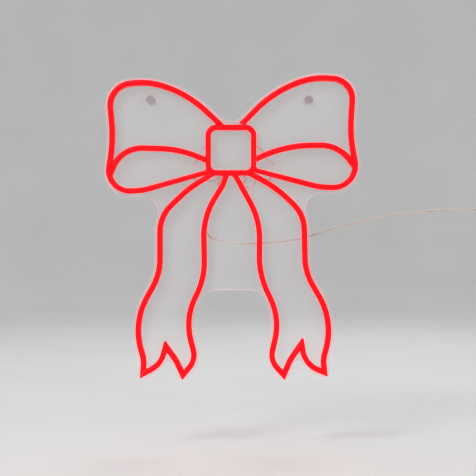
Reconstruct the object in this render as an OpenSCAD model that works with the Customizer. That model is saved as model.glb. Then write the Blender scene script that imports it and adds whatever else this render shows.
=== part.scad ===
// Wall sign in the shape of a ribbon bow: silicone light tubes on a clear plate.
//
// The bow is drawn flat, with x to the right, y up and z towards the viewer,
// then stood up so that it faces -Y. The origin is the middle point between
// the two wall fixings, on the face of the wall.

/* [Light tubes] */
// Width of a light tube
tube_w = 8; // [7:0.5:9]
// Depth of a light tube in front of the plate
tube_d = 14; // [12:0.5:18]
// Thickness of the silicone floor under the strip of lights
tube_floor = 1.2; // [1:0.1:2]
// Width of the channel that holds the strip of lights
channel_w = 5.4; // [5.2:0.1:6]
// Height of that channel
channel_h = 4; // [3:0.5:5]
// Thickness of the cap bonded on a tube end at the knot
end_cap_t = 1.5; // [1:0.1:2]

/* [Light strips] */
// Width of the strip
strip_w = 4.6; // [4:0.1:5]
// Thickness of the strip
strip_t = 0.6; // [0.4:0.1:1]
// Distance from one light to the next
light_pitch = 16; // [10:1:25]
// Length, width and height of one light
light_size = [3.5, 2.8, 0.8];

/* [Plate] */
// Thickness of the clear plate
plate_t = 5; // [4:0.5:6]
// Plate left outside the middle line of the outer tubes
plate_margin = 8; // [6:0.5:10]
// Radius of the inside corners of the plate's outline
plate_fillet = 24; // [15:1:28]
// Radius at the root of the notch in each ribbon tail
notch_fillet = 5; // [3:0.5:8]
// Height of the straight edge between the ribbon tails
web_edge = -277; // [-285:1:-265]
// Diameter of the wire holes under the tubes
wire_hole_d = 4; // [3.4:0.2:4.4]

/* [Wall fixings] */
// Distance between the two fixings
fixing_spacing = 230; // [222:1:236]
// Diameter of a standoff barrel
barrel_d = 12; // [11:0.5:14]
// Length of a barrel, from the wall to the rear washer
barrel_l = 20; // [18:1:25]
// Diameter of the wall screw's hole in the foot of a barrel
screw_hole_d = 4.5; // [4:0.5:5]
// Thickness of the foot of a barrel
foot_t = 3; // [2.5:0.5:4]
// Diameter of the cap's threaded stud
stud_d = 6; // [5:0.5:6.5]
// Length of the stud behind the cap's head
stud_l = 16; // [14:1:18]
// Thickness of the cap's head
cap_head_t = 5; // [4:0.5:7]
// Thickness of a soft washer
washer_t = 0.8; // [0.6:0.1:1]

/* [Lead] */
// Diameter of the low-voltage lead
lead_d = 3; // [2.8:0.1:3.4]
// Mean radius of the stored coil
coil_r = 18; // [17.5:0.5:18.5]

/* [Switch and plug] */
// Length of the inline switch
switch_l = 44; // [42:1:48]
// Width of the inline switch
switch_w = 16; // [15:0.5:18]
// Depth of the inline switch
switch_d = 13; // [12:0.5:14]
// Swing of the switch's rocker each way from level
rocker_swing = 9; // [8:0.5:10]
// Length of the plug's grip
plug_grip_l = 24; // [20:1:28]
// Length of the plug's metal barrel
plug_tip_l = 9.5; // [9:0.5:10]

/* [Hidden] */
$fn = 64;

// Distance of the bow's middle line from the middle of the two fixings.
bow_x = 5;

// Clearances: between bonded pieces, between neighbours, round a stud.
bond = 0.1;
gap = 0.3;
stud_play = 1;

plate_back = barrel_l + washer_t;
plate_front = plate_back + plate_t;
cap_seat = plate_front + washer_t;

// The knot is a square with round corners.
knot_centre = [-3, -73.5];
knot_half = 33;
knot_corner = 12;
function knot_point(x, y, corner = knot_corner) =
    [knot_centre.x + x * knot_half, knot_centre.y + y * knot_half, corner];

// The middle line of each tube: [x, y, radius of the corner there], about the
// bow's middle line. Each end runs on into its neighbour and is trimmed there.
knot_path = [knot_point(0, 1, 0), knot_point(1, 1), knot_point(1, -1),
    knot_point(-1, -1), knot_point(-1, 1), knot_point(0, 1, 0)];
left_loop_path = [[-16, -39, 0], [-65, 8, 160], [-122, 26, 100], [-181, 20, 32],
    [-174, -57, 200], [-185, -134, 30], [-130, -132, 95], [-30, -102, 0]];
right_loop_path = [[12, -37, 0], [58, 11, 165], [115, 32, 100], [175, 29, 30],
    [170, -51, 195], [184, -129, 32], [125, -127, 100], [30, -101, 0]];
left_fold_path = [[-179, -111, 0], [-171, -91, 30], [-152, -70, 45], [-77, -72, 150],
    [-32, -91, 0]];
right_fold_path = [[181, -104, 0], [154, -66, 52], [74, -67, 180], [26, -90, 0]];

// Each ribbon tail: its outer tube, the two tubes of its notch, and its inner
// tube. Each path starts at the corner where the one before it ends.
function end_of(path) = path[len(path) - 1];
left_outer_path = [[-20, -102, 0], [-64, -129, 135], [-106, -169, 54],
    [-106, -253, 85], [-145, -324, 100], [-129, -379, 48], [-131, -398, 0]];
left_notch_a_path = [end_of(left_outer_path), [-105, -385, 36], [-98, -358, 0]];
left_notch_b_path = [end_of(left_notch_a_path), [-83, -378, 65], [-73, -400, 0]];
left_inner_path = [end_of(left_notch_b_path), [-54, -378, 28], [-70, -316, 90],
    [-41, -261, 110], [-43, -170, 105], [-14, -123, 40], [-7, -100, 0]];
right_inner_path = [[-2, -102, 0], [39, -174, 110], [38, -254, 120], [68, -318, 90],
    [54, -379, 28], [74, -400, 0]];
right_notch_b_path = [end_of(right_inner_path), [83, -378, 65], [100, -354, 0]];
right_notch_a_path = [end_of(right_notch_b_path), [104, -385, 36], [133, -396, 0]];
right_outer_path = [end_of(right_notch_a_path), [131, -377, 40], [146, -322, 100],
    [105, -251, 80], [103, -167, 52], [63, -128, 170], [20, -105, 0]];

// The mitred corner where one path ends and the next one starts:
// [x, y, direction into the corner, halfway between the two tubes].
function mitre_of(path, next) = let (
        corner = end_of(path),
        back = heading(corner, path[len(path) - 2]),
        onward = heading(corner, next[1])
    ) [corner.x, corner.y, back + wrap(onward - back) / 2];
left_tip = mitre_of(left_outer_path, left_notch_a_path);
left_apex = mitre_of(left_notch_a_path, left_notch_b_path);
left_heel = mitre_of(left_notch_b_path, left_inner_path);
right_heel = mitre_of(right_inner_path, right_notch_b_path);
right_apex = mitre_of(right_notch_b_path, right_notch_a_path);
right_tip = mitre_of(right_notch_a_path, right_outer_path);
// How far a mitred point reaches past its corner, and how far tubes run on.
nose = 7;
run_on = 12;

// Points where wires pass through the plate, each under a tube.
feed_port = on_arc(left_inner_path, 4, 0.45);
knot_ports = [on_run(knot_path, 2, 0.7), on_run(knot_path, 2, 0.1),
    on_run(knot_path, 3, 0.73), on_run(knot_path, 1, 0.27)];
left_inner_port = on_run(left_inner_path, 4, 0.7);
right_inner_port = on_run(right_inner_path, 0, 0.45);
left_outer_port = on_run(left_outer_path, 0, 0.75);
right_outer_port = on_run(right_outer_path, 5, 0.3);
left_loop_port = on_run(left_loop_path, 6, 0.7);
right_loop_port = on_run(right_loop_path, 6, 0.7);
left_fold_port = on_run(left_fold_path, 3, 0.1);
right_fold_port = on_arc(right_fold_path, 2, 0.9);
all_ports = concat(knot_ports, [feed_port, left_inner_port, right_inner_port,
    left_outer_port, right_outer_port, left_loop_port, right_loop_port,
    left_fold_port, right_fold_port]);

// Wire runs over the back of the plate, each from port to port past a corner.
wire_runs = [
    run(feed_port, [-32, -157, 10], left_inner_port),
    run(left_inner_port, [-22, -122, 6], knot_ports[0]),
    run(knot_ports[0], [-28, -118, 5], left_outer_port),
    run(left_outer_port, [-53, -119, 4], left_loop_port),
    run(left_loop_port, [-60, -96, 6], left_fold_port),
    run(left_fold_port, [-46, -70, 5], knot_ports[2]),
    run(knot_ports[1], [20, -117, 5], right_inner_port),
    run(right_inner_port, [28, -130, 6], right_outer_port),
    run(right_outer_port, [54, -118, 4], right_loop_port),
    run(right_loop_port, [60, -94, 6], right_fold_port),
    run(right_fold_port, [42, -72, 5], knot_ports[3])
];
// Each run is a pair of wires, which pass through the plate in one sleeve.
wire_d = 1.1;
wire_spread = 1.6;
sleeve_d = 2.8;

// The gland lies behind the left tail's inner tube and points down it.
gland_top = [-34.8, -165];
gland_tip = [-36.8, -181];
gland_r = 3.2;
gland_tip_r = 1.9;
gland_z = plate_back - wire_d - 2 * bond - gland_r;

// The lead's route from the gland to the coil: [right, up, off the wall],
// measured from the middle of the two fixings.
lead_route = [
    [-36.8, -181, 16.3], [-36.6, -185, 16.3], [-35.6, -189.5, 16.3], [-33.6, -193.8, 16.2],
    [-30.6, -197.3, 16.1], [-26, -200.8, 16], [-19, -203.8, 15.7], [-10, -206.2, 15.4],
    [0, -208, 15], [12, -209.1, 14.5], [28, -209.2, 14], [46, -208.6, 13.5],
    [66, -207.4, 13], [86, -205.2, 12.5], [106, -201.6, 12], [126, -196, 11.5],
    [147, -189, 11], [168, -183, 10.5], [190, -177.4, 10], [212, -172.4, 10],
    [234, -168.2, 10], [256, -165, 10], [282, -162.4, 10.3], [310, -160.6, 10.6],
    [338, -159.6, 10.8], [360, -159.2, 11], [374, -159, 11]
];
ring_spacing = 2.6 * lead_d;
lead_sides = 8;

// The coil hangs flat to the wall from the prong of a stick-on hook.
coil_centre = [386, -180, 8];
// Turns of the coil across its width, and as many across its depth.
coil_rows = 3;
coil_half = coil_rows * lead_d / 2 + gap;
hook_w = 14;
hook_corner = 3.5;
hook_below = 10;
hook_above = 20;
hook_pad_t = 1;
hook_base_t = 2;
prong_d = 4;
prong_y = coil_centre.y + coil_r - coil_half - prong_d / 2 - gap;
lip_z = coil_centre.z + coil_half + 0.5;
lip_t = 2;
lip_w = 6;
lip_h = 9;
tie_w = 6;
tie_t = 1.2;
tie_play = 0.5;
tie_angle = 235;

// The switch and the plug hang below the coil on one upright line.
hang_x = 401;
switch_top = -224;
switch_z = 8;
switch_mid = switch_top - switch_l / 2;
switch_route = [[401, -188, 1.7], [401, -194, 1.7], [401, -200, 2.5], [401, -206, 4.4],
    [401, -212, 6.6], [401, -218, 7.8], [401, switch_top, switch_z]];
plug_top = -294;
plug_route = [[401, switch_top - switch_l, switch_z], [401.6, -275, 8],
    [402, -281, 8], [401.6, -287, 8], [401, plug_top, 8]];
switch_wall = 1.5;
switch_corner = 4;
pivot_z = 2.5;
rocker_r = 8.6;
rocker_w = 9;
rocker_play = 0.4;
pin_d = 2;
pin_socket = 0.7;
contact_size = [4, 10, 0.5];
contact_y = 7;
grip_d = 9.5;
plug_tip_d = 5.5;
plug_bore_d = 2.1;

// ---- Paths of straight runs joined by arcs ----

function flat(p) = [p.x, p.y];
function heading(a, b) = atan2(b.y - a.y, b.x - a.x);
function along(angle) = [cos(angle), sin(angle)];
function wrap(angle) = angle - 360 * round(angle / 360);
function turn_at(path, i) = wrap(heading(path[i], path[i + 1]) - heading(path[i - 1], path[i]));
function is_end(path, i) = i == 0 || i == len(path) - 1;
function trim_at(path, i) = is_end(path, i) ? 0 : path[i].z * tan(abs(turn_at(path, i)) / 2);
function run_start(path, i) = flat(path[i])
    + trim_at(path, i) * along(heading(path[i], path[i + 1]));
function run_length(path, i) = norm(flat(path[i + 1]) - flat(path[i]))
    - trim_at(path, i) - trim_at(path, i + 1);
function arc_start(path, i) = flat(path[i])
    - trim_at(path, i) * along(heading(path[i - 1], path[i]));
function arc_centre(path, i) = arc_start(path, i)
    + path[i].z * along(heading(path[i - 1], path[i]) + 90 * sign(turn_at(path, i)));
function arc_from(path, i) = heading(path[i - 1], path[i]) - 90 * sign(turn_at(path, i));

// A point on one of the path's straight runs or arcs.
function on_run(path, i, share) = run_start(path, i)
    + share * run_length(path, i) * along(heading(path[i], path[i + 1]));
function on_arc(path, i, share) = arc_centre(path, i)
    + path[i].z * along(arc_from(path, i) + share * turn_at(path, i));

// A path from one point to another past a single rounded corner.
function run(from, past, to) = [[from.x, from.y, 0], past, [to.x, to.y, 0]];

// The path as plain points, with arc_step degrees from point to point on arcs.
arc_step = 6;
function outline(path) = [
    for (i = [0 : len(path) - 1])
        if (is_end(path, i)) flat(path[i])
        else let (steps = ceil(abs(turn_at(path, i)) / arc_step))
            for (k = [0 : steps])
                arc_centre(path, i)
                + path[i].z * along(arc_from(path, i) + turn_at(path, i) * k / steps)
];

// The path with its first and last runs lengthened.
function lengthened(path, first, last) = let (n = len(path)) [
    for (i = [0 : n - 1])
        i == 0 ? concat(flat(path[0]) - first * along(heading(path[0], path[1])), 0)
        : i == n - 1 ? concat(flat(path[i]) + last * along(heading(path[i - 1], path[i])), 0)
        : path[i]
];

// The path moved sideways: by a positive distance to its left, going along it.
function beside(path, shift) = [
    for (i = [0 : len(path) - 1])
        if (i == 0)
            flat(path[0]) + shift * along(heading(path[0], path[1]) + 90)
        else if (i == len(path) - 1)
            flat(path[i]) + shift * along(heading(path[i - 1], path[i]) + 90)
        else let (steps = ceil(abs(turn_at(path, i)) / arc_step))
            for (k = [0 : steps])
                arc_centre(path, i) + (path[i].z - shift * sign(turn_at(path, i)))
                * along(arc_from(path, i) + turn_at(path, i) * k / steps)
];
function backwards(points) = [for (i = [len(points) - 1 : -1 : 0]) points[i]];

// A flat band along the path, from one sideways distance to another.
module band(path, from, to) {
    polygon(concat(beside(path, from), backwards(beside(path, to))));
}

module ribbon(path, width) {
    band(path, -width / 2, width / 2);
}

// Repeats a child along the path, about one pitch apart.
module place_along(path, pitch) {
    for (i = [0 : len(path) - 2]) {
        count = floor(run_length(path, i) / pitch + 0.5);
        for (k = [0 : 1 : count - 1])
            translate(run_start(path, i)
                + run_length(path, i) * (k + 0.5) / count * along(heading(path[i], path[i + 1])))
                rotate([0, 0, heading(path[i], path[i + 1])]) children();
    }
    for (i = [1 : 1 : len(path) - 2]) {
        arc_length = path[i].z * abs(turn_at(path, i)) * PI / 180;
        count = floor(arc_length / pitch + 0.5);
        for (k = [0 : 1 : count - 1]) {
            part_turn = turn_at(path, i) * (k + 0.5) / count;
            translate(arc_centre(path, i) + path[i].z * along(arc_from(path, i) + part_turn))
                rotate([0, 0, heading(path[i - 1], path[i]) + part_turn]) children();
        }
    }
}

// A centred rectangle with round corners, and a plate of that outline.
module rounded_square(size, corner) {
    square([size.x - 2 * corner, size.y], center = true);
    square([size.x, size.y - 2 * corner], center = true);
    for (x = [-1, 1], y = [-1, 1])
        translate([x * (size.x / 2 - corner), y * (size.y / 2 - corner)]) circle(corner);
}

module rounded_plate(size, corner, height) {
    linear_extrude(height) rounded_square(size, corner);
}

// Stands the flat drawing up, facing -Y.
module stand() {
    rotate([90, 0, 0]) children();
}

// Stands up a part drawn about the bow's own middle line, at height z.
module on_bow(z) {
    stand() translate([bow_x, 0, z]) children();
}

// ---- Light tubes ----

// Everything within reach on the side of a point that an angle points to,
// and a margin on the near side.
block = 70;
module beyond(point, angle, margin = 0, reach = block) {
    translate(flat(point)) rotate([0, 0, angle])
        translate([-margin, -reach, -1]) cube([reach, 2 * reach, tube_d + 2]);
}

// Room kept for the knot and for what is bonded round it.
module knot_outline(grow) {
    side = 2 * (knot_half + grow);
    translate(knot_centre) rounded_square([side, side], knot_corner + grow);
}

module knot_room(grow) {
    translate([0, 0, -1]) linear_extrude(tube_d + 2) knot_outline(tube_w / 2 + grow);
}

// The cuts at a mitred corner. They stop short of a notch tube's other end.
mitre_reach = 40;
module mitre(corner, turn) {
    beyond(corner, corner.z + turn, bond / 2, mitre_reach);
    beyond(corner, corner.z + 180, -nose, mitre_reach);
}

// The side of a loop's lower run that the outer tail tube lies along.
module under_loop(path, side) {
    last = len(path) - 1;
    beyond(path[last], heading(path[last - 1], path[last]) + side, tube_w / 2 + bond);
}

// Holes in a tube's floor where its wires come in.
module port_holes(ports) {
    for (p = ports)
        translate([p.x, p.y, -1]) cylinder(d = sleeve_d + 2 * bond, h = tube_floor + 2);
}

module tube(path, ports = []) {
    color("red") on_bow(plate_front)
        difference() {
            linear_extrude(tube_d) ribbon(path, tube_w);
            translate([0, 0, tube_floor])
                linear_extrude(channel_h) ribbon(lengthened(path, 1, 1), channel_w);
            port_holes(ports);
            children();
        }
}

module knot_ring(width) {
    difference() {
        knot_outline(width / 2);
        knot_outline(-width / 2);
    }
}

module knot_tube() {
    color("red") on_bow(plate_front)
        difference() {
            linear_extrude(tube_d) knot_ring(tube_w);
            translate([0, 0, tube_floor]) linear_extrude(channel_h) knot_ring(channel_w);
            port_holes(knot_ports);
        }
}

module left_loop_tube() {
    tube(left_loop_path, [left_loop_port]) knot_room(gap + end_cap_t + bond);
}

module right_loop_tube() {
    tube(right_loop_path, [right_loop_port]) knot_room(gap + end_cap_t + bond);
}

// Room kept for the upright side of a loop, where a fold runs into it.
module loop_side_room(path, side) {
    beyond(path[4], heading(path[4], path[5]) + side);
    translate([0, 0, -1]) linear_extrude(tube_d + 2) ribbon(path, tube_w + 2 * gap);
}

module left_fold_tube() {
    tube(left_fold_path, [left_fold_port]) {
        knot_room(gap + end_cap_t + bond);
        loop_side_room(left_loop_path, -90);
    }
}

module right_fold_tube() {
    tube(right_fold_path, [right_fold_port]) {
        knot_room(gap + end_cap_t + bond);
        loop_side_room(right_loop_path, 90);
    }
}

module left_tail_outer_tube() {
    tube(lengthened(left_outer_path, 0, run_on), [left_outer_port]) {
        knot_room(gap + end_cap_t + bond);
        under_loop(left_loop_path, 90);
        mitre(left_tip, -90);
    }
}

module left_notch_outer_tube() {
    tube(lengthened(left_notch_a_path, run_on, run_on)) {
        mitre(left_tip, 90);
        mitre(left_apex, 90);
    }
}

module left_notch_inner_tube() {
    tube(lengthened(left_notch_b_path, run_on, run_on)) {
        mitre(left_apex, -90);
        mitre(left_heel, -90);
    }
}

module left_tail_inner_tube() {
    tube(lengthened(left_inner_path, run_on, 0), [feed_port, left_inner_port]) {
        knot_room(gap + end_cap_t + bond);
        mitre(left_heel, 90);
    }
}

module right_tail_inner_tube() {
    tube(lengthened(right_inner_path, 0, run_on), [right_inner_port]) {
        knot_room(gap + end_cap_t + bond);
        mitre(right_heel, -90);
    }
}

module right_notch_inner_tube() {
    tube(lengthened(right_notch_b_path, run_on, run_on)) {
        mitre(right_heel, 90);
        mitre(right_apex, 90);
    }
}

module right_notch_outer_tube() {
    tube(lengthened(right_notch_a_path, run_on, run_on)) {
        mitre(right_apex, -90);
        mitre(right_tip, -90);
    }
}

module right_tail_outer_tube() {
    tube(lengthened(right_outer_path, run_on, 0), [right_outer_port]) {
        knot_room(gap + end_cap_t + bond);
        under_loop(right_loop_path, -90);
        mitre(right_tip, 90);
    }
}

// ---- Lights inside the tubes ----

// A path cut back at its two ends.
function cut_back(path, first, last) = lengthened(path, -first, -last);

// The middle lines again, cut back to stay inside each tube's ends.
corner_back = 7;
knot_strip = [cut_back(knot_path, 4, 4)];
left_loop_strip = [cut_back(left_loop_path, 9, 13)];
right_loop_strip = [cut_back(right_loop_path, 9, 11)];
left_fold_strip = [cut_back([for (i = [1 : 4]) left_fold_path[i]], 6, 13)];
right_fold_strip = [cut_back(right_fold_path, 19, 13)];
left_tail_strip = [
    cut_back(left_outer_path, 25, corner_back),
    cut_back(left_notch_a_path, corner_back, corner_back),
    cut_back(left_notch_b_path, corner_back, corner_back),
    cut_back(left_inner_path, corner_back, 16)
];
right_tail_strip = [
    cut_back(right_inner_path, 17, corner_back),
    cut_back(right_notch_b_path, corner_back, corner_back),
    cut_back(right_notch_a_path, corner_back, corner_back),
    cut_back(right_outer_path, corner_back, 24)
];

module led_strip(paths) {
    color("white") on_bow(plate_front + tube_floor + gap)
        for (path = paths)
            linear_extrude(strip_t) ribbon(path, strip_w);
}

module knot_led_strip() {
    led_strip(knot_strip);
}

module left_loop_led_strip() {
    led_strip(left_loop_strip);
}

module right_loop_led_strip() {
    led_strip(right_loop_strip);
}

module left_fold_led_strip() {
    led_strip(left_fold_strip);
}

module right_fold_led_strip() {
    led_strip(right_fold_strip);
}

module left_tail_led_strip() {
    led_strip(left_tail_strip);
}

module right_tail_led_strip() {
    led_strip(right_tail_strip);
}

module led_chips() {
    color("orangered") on_bow(plate_front + tube_floor + gap + strip_t + light_size.z / 2)
        for (path = concat(knot_strip, left_loop_strip, right_loop_strip, left_fold_strip,
                right_fold_strip, left_tail_strip, right_tail_strip))
            place_along(path, light_pitch) cube(light_size, center = true);
}

function first_run(path) = [path[0], path[1]];
function last_run(path) = [path[len(path) - 2], path[len(path) - 1]];

// One cap, bonded on the end of a tube's last run, against the knot.
module end_cap(tube_run) {
    difference() {
        intersection() {
            linear_extrude(tube_d) ribbon(tube_run, tube_w);
            knot_room(gap + end_cap_t);
        }
        knot_room(gap);
        children();
    }
}

module tube_end_caps() {
    color("tomato") on_bow(plate_front) {
        end_cap(first_run(left_loop_path));
        end_cap(last_run(left_loop_path));
        end_cap(first_run(right_loop_path));
        end_cap(last_run(right_loop_path));
        end_cap(last_run(left_fold_path));
        end_cap(last_run(right_fold_path));
        end_cap(first_run(left_outer_path)) under_loop(left_loop_path, 90);
        end_cap(last_run(left_inner_path));
        end_cap(first_run(right_inner_path));
        end_cap(last_run(right_outer_path)) under_loop(right_loop_path, -90);
    }
}

module jumper_wires() {
    color("whitesmoke") on_bow(plate_back) {
        translate([0, 0, -wire_d - bond])
            for (path = wire_runs, side = [-1, 1])
                linear_extrude(wire_d)
                    band(path, side * wire_spread / 2 - wire_d / 2, side * wire_spread / 2 + wire_d / 2);
        for (p = all_ports)
            translate([p.x, p.y, -wire_d - 2 * bond])
                cylinder(d = sleeve_d, h = wire_d + 2 * bond + plate_t + tube_floor + gap);
    }
}

// ---- Plate ----

// Fills inside corners to a radius and leaves outside corners alone.
module filled_corners(radius) {
    offset(r = -radius) offset(delta = radius) children();
}

module loop_area(path, side) {
    polygon(beside(path, side * plate_margin));
}

// A ribbon tail: the area inside its tubes, and the margin round them.
module tail_area(paths) {
    filled_corners(notch_fillet) {
        polygon([for (path = paths) each outline(path)]);
        for (path = paths) {
            ribbon(path, 2 * plate_margin);
            translate(flat(path[0])) circle(plate_margin);
        }
    }
}

module left_tail_area() {
    tail_area([left_outer_path, left_notch_a_path, left_notch_b_path, left_inner_path]);
}

module right_tail_area() {
    tail_area([right_inner_path, right_notch_b_path, right_notch_a_path, right_outer_path]);
}

// The web between the tails, and the line below which the notches stay open.
web_half = 45;
web_top = -120;
notch_line = -335;
// Outlines that would run along each other are set this far apart.
hair = 0.12;
module plate_outline() {
    filled_corners(plate_fillet) {
        loop_area(left_loop_path, -1);
        loop_area(right_loop_path, 1);
        knot_outline(plate_margin);
        translate([-web_half, web_edge]) square([2 * web_half, web_top - web_edge]);
        intersection() {
            offset(delta = -hair) {
                left_tail_area();
                right_tail_area();
            }
            translate([-fixing_spacing, notch_line]) square([2 * fixing_spacing, -notch_line]);
        }
    }
    left_tail_area();
    right_tail_area();
}

module backing_plate() {
    color("lightcyan", 0.35)
        difference() {
            on_bow(plate_back) linear_extrude(plate_t) plate_outline();
            on_bow(plate_back - 1)
                for (p = all_ports)
                    translate(p) cylinder(d = wire_hole_d, h = plate_t + 2);
            for (side = [-1, 1])
                stand() translate([side * fixing_spacing / 2, 0, plate_back - 1])
                    cylinder(d = stud_d + stud_play, h = plate_t + 2);
        }
}

// ---- Wall fixings ----

module at_fixing(side, z) {
    stand() translate([side * fixing_spacing / 2, 0, z]) children();
}

thread_play = 0.2;
washer_inset = 0.2;
chamfer = 0.6;

module barrel(side) {
    color("silver") at_fixing(side, 0)
        difference() {
            rotate_extrude()
                polygon([[0, 0], [barrel_d / 2, 0], [barrel_d / 2, barrel_l - chamfer],
                    [barrel_d / 2 - chamfer, barrel_l], [0, barrel_l]]);
            translate([0, 0, -1]) cylinder(d = screw_hole_d, h = foot_t + 2);
            translate([0, 0, foot_t]) cylinder(d = stud_d + thread_play, h = barrel_l);
        }
}

module washer(side, z) {
    color("gainsboro") at_fixing(side, z)
        difference() {
            cylinder(d = barrel_d - 2 * washer_inset, h = washer_t);
            translate([0, 0, -1]) cylinder(d = stud_d + stud_play, h = washer_t + 2);
        }
}

module cap(side) {
    color("silver") at_fixing(side, cap_seat)
        rotate_extrude()
            polygon([[0, -stud_l], [stud_d / 2 - chamfer, -stud_l],
                [stud_d / 2, chamfer - stud_l], [stud_d / 2, 0], [barrel_d / 2, 0],
                [barrel_d / 2, cap_head_t - chamfer], [barrel_d / 2 - chamfer, cap_head_t],
                [0, cap_head_t]]);
}

module left_standoff_barrel() {
    barrel(-1);
}

module right_standoff_barrel() {
    barrel(1);
}

module left_rear_washer() {
    washer(-1, barrel_l);
}

module right_rear_washer() {
    washer(1, barrel_l);
}

module left_front_washer() {
    washer(-1, plate_front);
}

module right_front_washer() {
    washer(1, plate_front);
}

module left_standoff_cap() {
    cap(-1);
}

module right_standoff_cap() {
    cap(1);
}

// ---- Lead, coil and hook ----

module lead_gland() {
    length = norm(gland_tip - gland_top);
    color("white") stand()
        translate([gland_top.x, gland_top.y, gland_z])
            rotate([0, 0, heading(gland_top, gland_tip)]) rotate([0, 90, 0])
                rotate_extrude()
                    polygon([[0, 0], [gland_r - chamfer, 0], [gland_r, chamfer],
                        [gland_r, length / 3], [gland_tip_r, length], [0, length]]);
}

// A point a share of the way from one route point to the next, on a smooth curve.
function curve(route, i, t) =
    let (
        a = route[max(i - 1, 0)],
        b = route[i],
        c = route[i + 1],
        d = route[min(i + 2, len(route) - 1)]
    )
    0.5 * (2 * b + (c - a) * t + (2 * a - 5 * b + 4 * c - d) * t * t
        + (3 * b - a - 3 * c + d) * t * t * t);

function course(route) = [
    for (i = [0 : len(route) - 2])
        let (steps = ceil(norm(route[i + 1] - route[i]) / ring_spacing))
            for (k = [0 : steps - 1]) curve(route, i, k / steps),
    route[len(route) - 1]
];

function unit(v) = v / norm(v);

// A ring of points square to the course, which never runs straight off the wall.
function ring(points, i) =
    let (
        ahead = unit(points[min(i + 1, len(points) - 1)] - points[max(i - 1, 0)]),
        side = unit(cross(ahead, [0, 0, 1])),
        up = cross(side, ahead)
    )
    [for (k = [0 : lead_sides - 1])
        points[i] + lead_d / 2 * (side * cos(360 * k / lead_sides) + up * sin(360 * k / lead_sides))];

module cord(route) {
    points = course(route);
    last = len(points) - 1;
    polyhedron(
        points = [for (i = [0 : last]) each ring(points, i)],
        faces = concat(
            [[for (k = [0 : lead_sides - 1]) k]],
            [for (i = [0 : last - 1], k = [0 : lead_sides - 1])
                let (here = i * lead_sides, next = (k + 1) % lead_sides)
                    [here + k, here + lead_sides + k, here + lead_sides + next, here + next]],
            [[for (k = [lead_sides - 1 : -1 : 0]) last * lead_sides + k]]
        )
    );
}

module power_lead() {
    color("whitesmoke", 0.7) stand() cord(lead_route);
}

module switch_lead() {
    color("whitesmoke", 0.7) stand() cord(switch_route);
}

module plug_lead() {
    color("whitesmoke", 0.7) stand() cord(plug_route);
}

module lead_coil() {
    color("whitesmoke", 0.7) stand() translate(coil_centre)
        rotate_extrude() translate([coil_r, 0]) square(2 * coil_half, center = true);
}

module coil_tie() {
    inner = 2 * (coil_half + tie_play);
    color("dimgray") stand() translate(coil_centre) rotate([0, 0, tie_angle])
        translate([coil_r, 0, 0]) rotate([90, 0, 0])
            linear_extrude(tie_w, center = true)
                difference() {
                    square(inner + 2 * tie_t, center = true);
                    square(inner, center = true);
                }
}

module at_hook(z) {
    middle = prong_y + (hook_above - hook_below) / 2;
    stand() translate([coil_centre.x, middle, z]) children();
}

module hook_pad() {
    color("gray") at_hook(0)
        rounded_plate([hook_w, hook_below + hook_above], hook_corner, hook_pad_t);
}

module hook_base() {
    color("whitesmoke") {
        at_hook(hook_pad_t)
            rounded_plate([hook_w, hook_below + hook_above], hook_corner, hook_base_t);
        stand() translate([coil_centre.x, prong_y, hook_pad_t])
            cylinder(d = prong_d, h = lip_z + lip_t - hook_pad_t);
        stand() translate([coil_centre.x - lip_w / 2, prong_y - prong_d / 2, lip_z])
            cube([lip_w, lip_h, lip_t]);
    }
}

// ---- Inline switch and plug ----

module at_switch() {
    stand() translate([hang_x, switch_mid, switch_z]) children();
}

module switch_solid(grow, depth) {
    rounded_plate([switch_w + 2 * grow, switch_l + 2 * grow], switch_corner + grow, depth);
}

// Room for the lead where it comes in at each end.
module lead_holes() {
    rotate([90, 0, 0]) cylinder(d = lead_d + bond, h = switch_l + 2, center = true);
}

module switch_shell_back() {
    color("white") at_switch()
        difference() {
            translate([0, 0, -switch_d / 2]) switch_solid(0, switch_d / 2);
            translate([0, 0, switch_wall - switch_d / 2]) switch_solid(-switch_wall, switch_d);
            lead_holes();
        }
}

module switch_shell_front() {
    window = [rocker_w + 2 * rocker_play, 2 * (rocker_r + rocker_play), switch_d];
    color("white") at_switch()
        difference() {
            translate([0, 0, bond]) switch_solid(0, switch_d / 2 - bond);
            translate([0, 0, -1]) switch_solid(-switch_wall, switch_d / 2 - switch_wall + 1);
            translate([-window.x / 2, -window.y / 2, 0]) cube(window);
            translate([0, 0, pivot_z]) rotate([0, 90, 0])
                cylinder(d = pin_d, h = switch_w - 2 * switch_wall + 2 * pin_socket, center = true);
            lead_holes();
        }
}

module rocker_pin() {
    color("silver") at_switch()
        translate([0, 0, pivot_z]) rotate([0, 90, 0])
            cylinder(d = pin_d, h = switch_w - 2 * switch_wall + 2 * pin_socket - 2 * bond,
                center = true);
}

// The rocker's side: round about its pin, with a shallow valley on top.
rocker_under = -2.5;
rocker_valley = 4.2;
rocker_crest = 5.2;
pin_play = 0.1;
module rocker_section() {
    difference() {
        intersection() {
            circle(rocker_r);
            polygon([[-rocker_r, rocker_under], [rocker_r, rocker_under],
                [rocker_r, rocker_crest], [0, rocker_valley], [-rocker_r, rocker_crest]]);
        }
        circle(d = pin_d + pin_play);
    }
}

module switch_rocker() {
    color("red") at_switch()
        translate([0, 0, pivot_z]) rotate([rocker_swing, 0, 0]) rotate([90, 0, 90])
            linear_extrude(rocker_w, center = true) rocker_section();
}

module switch_contacts() {
    color("gold") at_switch()
        for (side = [-1, 1])
            translate([0, side * contact_y,
                switch_wall + bond + contact_size.z / 2 - switch_d / 2])
                cube(contact_size, center = true);
}

module at_plug() {
    stand() translate([hang_x, plug_top, switch_z]) rotate([90, 0, 0]) children();
}

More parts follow.
